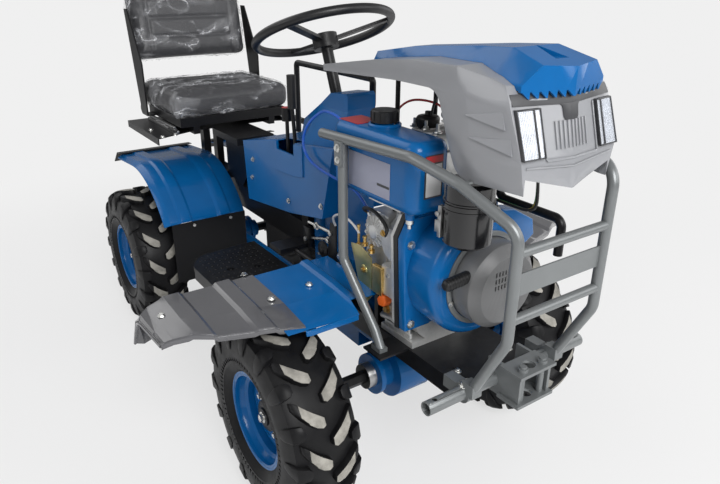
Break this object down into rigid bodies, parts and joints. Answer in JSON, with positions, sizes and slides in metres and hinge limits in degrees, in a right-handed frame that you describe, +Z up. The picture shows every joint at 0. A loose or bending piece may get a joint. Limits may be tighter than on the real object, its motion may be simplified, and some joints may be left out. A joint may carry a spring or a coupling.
{
  "type": "compact tractor",
  "caption": "Small tractor hinged in the middle, with an open diesel engine under a raised hood, a bull bar, wide fenders, a cushioned seat and hitches at both ends.",
  "frame": {"origin": "on the ground, below the middle of the tractor's overall box", "axes": "+X forward, +Y to the driver's left, +Z up"},
  "size_m": [2.1599, 1.4, 1.4348],
  "materials": {
    "blue_paint": "gloss paint",
    "black_paint": "satin paint",
    "grey_paint": "satin paint",
    "hood_grey": "gloss moulded plastic",
    "bare_casting": "cast aluminium",
    "tyre_rubber": "matt rubber",
    "grip_plastic": "matt moulded plastic",
    "seat_vinyl": "vinyl under clear film",
    "lamp_lens": "clear lens over a bright reflector",
    "recoil_grey": "moulded plastic"
  },
  "bodies": {
    "front_half": {"chassis_frame": "black_paint", "step_frames": "black_paint", "fender_bars": "black_paint", "bumper_tube": "grey_paint", "bull_bar": "grey_paint", "hitch_bracket": "grey_paint", "front_axle_case": "blue_paint", "engine_crankcase": "bare_casting", "engine_head": "bare_casting", "fan_shroud": "blue_paint", "recoil_starter": "recoil_grey", "fuel_tank": "blue_paint", "tank_cap": "grip_plastic", "air_cleaner": "black_paint", "muffler": "black_paint", "gear_case": "blue_paint", "gear_cover": "blue_paint", "dash_box": "blue_paint", "steering_column": "black_paint", "control_levers": "black_paint", "foot_pedals": "black_paint", "grab_rail": "black_paint", "hood_shell": "hood_grey", "hood_top": "blue_paint", "headlamps": "lamp_lens", "footplates": "black_paint", "front_fenders_inner": "blue_paint", "front_fenders_outer": "hood_grey"},
    "rear_half": {"rear_beam": "black_paint", "rear_axle_case": "blue_paint", "rear_fenders": "blue_paint", "mud_flaps": "black_paint", "seat_frame": "black_paint", "seat_cushion": "seat_vinyl", "seat_back": "seat_vinyl", "rear_hitch": "black_paint"},
    "steering_wheel": {"steering_wheel": "grip_plastic"},
    "front_left_wheel": {"front_left_tyre": "tyre_rubber", "front_left_rim": "blue_paint"},
    "front_right_wheel": {"front_right_tyre": "tyre_rubber", "front_right_rim": "blue_paint"},
    "rear_left_wheel": {"rear_left_tyre": "tyre_rubber", "rear_left_rim": "blue_paint"},
    "rear_right_wheel": {"rear_right_tyre": "tyre_rubber", "rear_right_rim": "blue_paint"}
  },
  "joints": [
    {"name": "centre_pivot", "type": "hinge", "parent": "front_half", "child": "rear_half", "pos_m": [0.142, 0, 0.6], "axis": [0, 0, 1], "range_deg": [-30, 30]},
    {"name": "steering", "type": "hinge", "parent": "front_half", "child": "steering_wheel", "pos_m": [0.135, 0, 1.215], "axis": [-0.3714, 0, 0.9285], "range_deg": [-360, 360]},
    {"name": "front_left_spin", "type": "hinge", "parent": "front_half", "child": "front_left_wheel", "pos_m": [0.54, 0.41, 0.28], "axis": [0, 1, 0], "continuous": true},
    {"name": "front_right_spin", "type": "hinge", "parent": "front_half", "child": "front_right_wheel", "pos_m": [0.54, -0.41, 0.28], "axis": [0, 1, 0], "continuous": true},
    {"name": "rear_left_spin", "type": "hinge", "parent": "rear_half", "child": "rear_left_wheel", "pos_m": [-0.721, 0.38, 0.28], "axis": [0, 1, 0], "continuous": true},
    {"name": "rear_right_spin", "type": "hinge", "parent": "rear_half", "child": "rear_right_wheel", "pos_m": [-0.721, -0.38, 0.28], "axis": [0, 1, 0], "continuous": true}
  ],
  "couplings": [
    {"joint": "steering", "follows": "centre_pivot", "ratio": 12}
  ]
}
